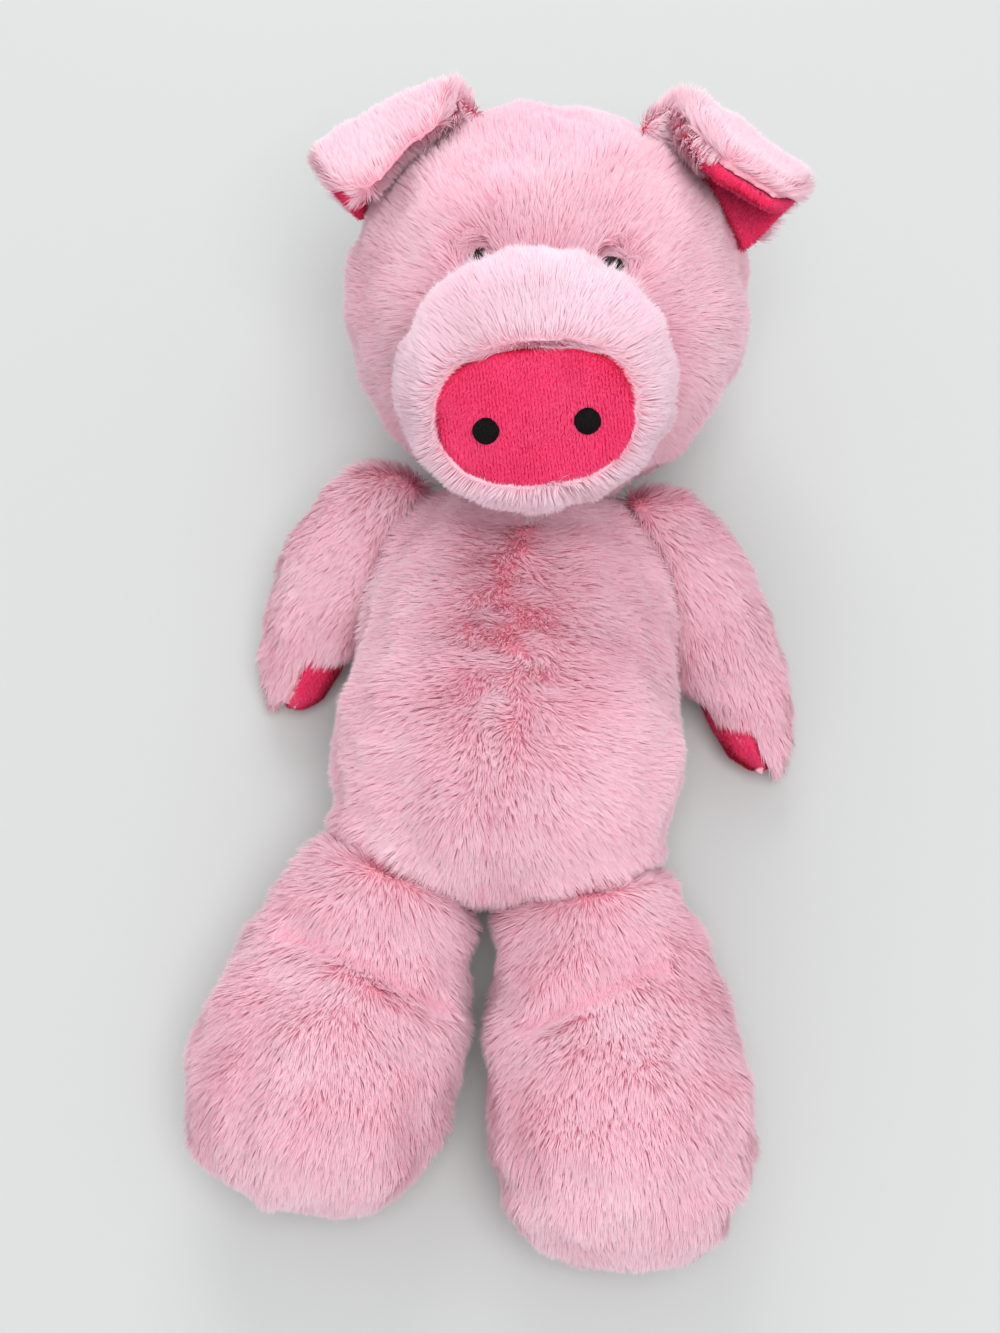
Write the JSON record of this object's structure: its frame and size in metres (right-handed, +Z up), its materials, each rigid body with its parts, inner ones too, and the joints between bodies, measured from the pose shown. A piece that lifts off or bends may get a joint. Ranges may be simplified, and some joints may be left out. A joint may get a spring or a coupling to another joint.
{
  "type": "plush pig",
  "caption": "Floppy long-limbed plush pig on its back, with a turning head, ears, arms, legs and tail, felt-like nose and palm pads.",
  "frame": {"origin": "on the surface that the toy lies on, under the middle of its back", "axes": "+Z up out of the belly, +Y from the seat to the crown of the head, +X to the pig's left side"},
  "size_m": [0.1569, 0.3128, 0.127],
  "materials": {
    "pink_fur": "long-pile plush, pale tips over rose roots",
    "pale_fur": "long-pile plush, almost white tips",
    "fuchsia_velboa": "short-pile plush with fine knit rows",
    "black_plastic": "polished",
    "black_thread": "satin-stitch embroidery",
    "fibre_filling": "white polyester fibre",
    "cotton": "plain woven bag",
    "clear_plastic": "moulded"
  },
  "bodies": {
    "torso": {"torso_back": "pink_fur", "torso_front_left": "pink_fur", "torso_front_right": "pink_fur", "torso_filling": "fibre_filling", "pellet_pouch": "cotton"},
    "head": {"head_face": "pink_fur", "head_back": "pink_fur", "head_filling": "fibre_filling", "eye_left": "black_plastic", "eye_right": "black_plastic", "eye_washer_left": "clear_plastic", "eye_washer_right": "clear_plastic", "muzzle_coat": "pale_fur", "muzzle_filling": "fibre_filling", "nose_pad": "fuchsia_velboa", "nostril_left": "black_thread", "nostril_right": "black_thread"},
    "ear_left": {"ear_left_back": "pink_fur", "ear_left_lining": "fuchsia_velboa"},
    "ear_right": {"ear_right_back": "pink_fur", "ear_right_lining": "fuchsia_velboa"},
    "arm_left": {"arm_left_front": "pink_fur", "arm_left_back": "pink_fur", "arm_left_filling": "fibre_filling", "palm_pad_left": "fuchsia_velboa"},
    "arm_right": {"arm_right_front": "pink_fur", "arm_right_back": "pink_fur", "arm_right_filling": "fibre_filling", "palm_pad_right": "fuchsia_velboa"},
    "leg_left": {"leg_left_front": "pink_fur", "leg_left_back": "pink_fur", "leg_left_filling": "fibre_filling"},
    "leg_right": {"leg_right_front": "pink_fur", "leg_right_back": "pink_fur", "leg_right_filling": "fibre_filling"},
    "tail": {"tail": "fuchsia_velboa"}
  },
  "joints": [
    {"name": "neck_nod", "type": "hinge", "parent": "torso", "child": "head", "pos_m": [0, 0.044, 0.038], "axis": [1, 0, 0], "range_deg": [-30, 10]},
    {"name": "ear_left_flop", "type": "hinge", "parent": "head", "child": "ear_left", "pos_m": [0.03998, 0.13025, 0.08274], "axis": [0.682, -0.5763, -0.4503], "range_deg": [-30, 5], "stiffness_Nm_per_rad": 0.01},
    {"name": "ear_right_flop", "type": "hinge", "parent": "head", "child": "ear_right", "pos_m": [-0.03998, 0.13025, 0.08274], "axis": [-0.682, -0.5763, -0.4503], "range_deg": [-30, 5], "stiffness_Nm_per_rad": 0.01},
    {"name": "shoulder_left", "type": "hinge", "parent": "torso", "child": "arm_left", "pos_m": [0.041, 0.05, 0.033], "axis": [-1, 0, 0], "range_deg": [-15, 85]},
    {"name": "shoulder_right", "type": "hinge", "parent": "torso", "child": "arm_right", "pos_m": [-0.047, 0.05, 0.033], "axis": [-1, 0, 0], "range_deg": [-15, 85]},
    {"name": "hip_left", "type": "hinge", "parent": "torso", "child": "leg_left", "pos_m": [0.0245, -0.061, 0.049], "axis": [-1, 0, 0], "range_deg": [-8, 85]},
    {"name": "hip_right", "type": "hinge", "parent": "torso", "child": "leg_right", "pos_m": [-0.0295, -0.061, 0.049], "axis": [-1, 0, 0], "range_deg": [-8, 85]},
    {"name": "tail_bend", "type": "hinge", "parent": "torso", "child": "tail", "pos_m": [0, -0.043, 0.0026], "axis": [-1, 0, 0], "range_deg": [-50, 0], "stiffness_Nm_per_rad": 0.002}
  ]
}
